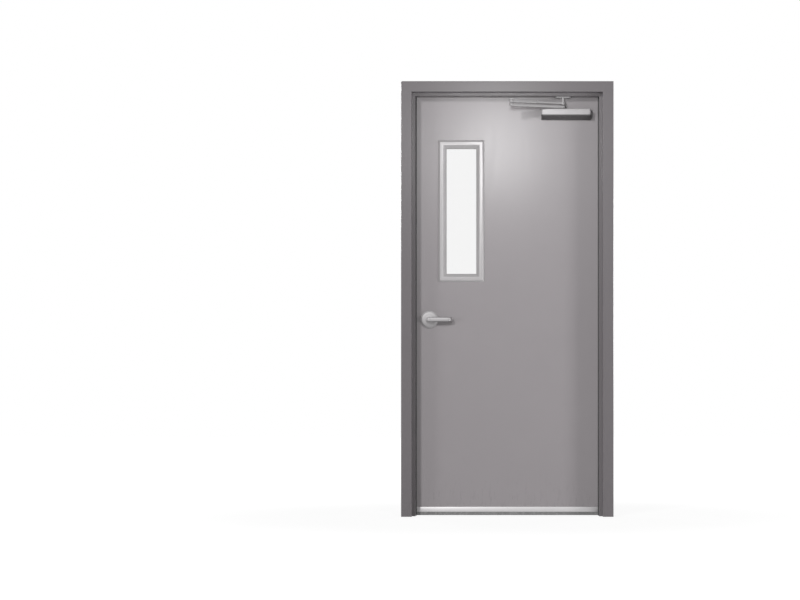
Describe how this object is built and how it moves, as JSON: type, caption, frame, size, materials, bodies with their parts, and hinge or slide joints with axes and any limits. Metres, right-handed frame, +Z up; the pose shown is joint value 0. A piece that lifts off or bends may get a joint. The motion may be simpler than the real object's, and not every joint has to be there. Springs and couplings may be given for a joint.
{
  "type": "security door in a pressed steel frame",
  "caption": "Hollow-metal door leaf with a narrow lite, lever, parallel-arm closer and sweep, hung in a double-rabbet pressed steel frame.",
  "frame": {"origin": "middle of the underside of the foot plate inside the hinge jamb, at floor level", "axes": "+Z up, +X from the latch side to the hinge side, +Y from the push side to the pull side"},
  "size_m": [1.0159, 0.2448, 2.083],
  "materials": {
    "frame_paint": "semi-gloss grey enamel",
    "door_paint": "semi-gloss light grey enamel",
    "galvanised_steel": "galvanised sheet",
    "satin_steel": "satin",
    "lock_satin": "satin chrome",
    "closer_paint": "silver lacquer",
    "closer_iron": "as cast",
    "sweep_aluminium": "mill",
    "black_rubber": "matt",
    "glass": "clear",
    "honeycomb": "kraft paper honeycomb"
  },
  "bodies": {
    "frame": {"head": "frame_paint", "strike_jamb": "frame_paint", "hinge_jamb": "frame_paint", "strike_plate": "lock_satin", "strike_box": "galvanised_steel", "silencers": "black_rubber", "top_hinge_frame_leaf": "satin_steel", "middle_hinge_frame_leaf": "satin_steel", "bottom_hinge_frame_leaf": "satin_steel", "hinge_pins": "satin_steel", "jamb_hinge_plates": "galvanised_steel", "strike_jamb_anchors": "galvanised_steel", "hinge_jamb_anchors": "galvanised_steel", "strike_floor_anchor": "galvanised_steel", "hinge_floor_anchor": "galvanised_steel", "closer_shoe": "closer_paint", "head_closer_plate": "galvanised_steel"},
    "leaf": {"push_skin": "door_paint", "pull_skin": "door_paint", "door_core": "honeycomb", "top_channel": "door_paint", "bottom_channel": "door_paint", "push_lite_frame": "door_paint", "pull_lite_frame": "door_paint", "lite_glass": "glass", "glazing_tape": "black_rubber", "lock_chassis": "galvanised_steel", "latch_front": "lock_satin", "latch_bolt": "lock_satin", "push_rose": "lock_satin", "pull_rose": "lock_satin", "top_hinge_door_leaf": "satin_steel", "middle_hinge_door_leaf": "satin_steel", "bottom_hinge_door_leaf": "satin_steel", "door_hinge_plates": "galvanised_steel", "closer_body": "closer_iron", "closer_cover": "closer_paint", "sweep_holder": "sweep_aluminium", "sweep_strip": "black_rubber"},
    "levers": {"push_lever": "lock_satin", "pull_lever": "lock_satin", "lever_spindle": "galvanised_steel"},
    "closer_arm": {"closer_pinion": "satin_steel", "main_arm": "closer_paint"},
    "closer_forearm": {"forearm_sleeve": "closer_paint", "forearm_rod": "closer_paint"}
  },
  "joints": [
    {"name": "door_swing", "type": "hinge", "parent": "frame", "child": "leaf", "pos_m": [-0.02875, 0.0825, 1], "axis": [0, 0, -1], "range_deg": [0, 90], "stiffness_Nm_per_rad": 12, "springref_deg": -20.05},
    {"name": "lever_turn", "type": "hinge", "parent": "leaf", "child": "levers", "pos_m": [-0.85925, 0.05075, 0.945], "axis": [0, 1, 0], "range_deg": [0, 45], "stiffness_Nm_per_rad": 2, "springref_deg": -28.65},
    {"name": "closer_arm_turn", "type": "hinge", "parent": "leaf", "child": "closer_arm", "pos_m": [-0.21625, -0.0005, 1.95], "axis": [0, 0, 1], "range_deg": [0, 78]},
    {"name": "closer_forearm_turn", "type": "hinge", "parent": "frame", "child": "closer_forearm", "pos_m": [-0.21625, -0.0005, 1.98], "axis": [0, 0, -1], "range_deg": [0, 78]}
  ],
  "couplings": [
    {"joint": "closer_arm_turn", "follows": "door_swing", "ratio": 0.866},
    {"joint": "closer_forearm_turn", "follows": "door_swing", "ratio": 0.866}
  ]
}
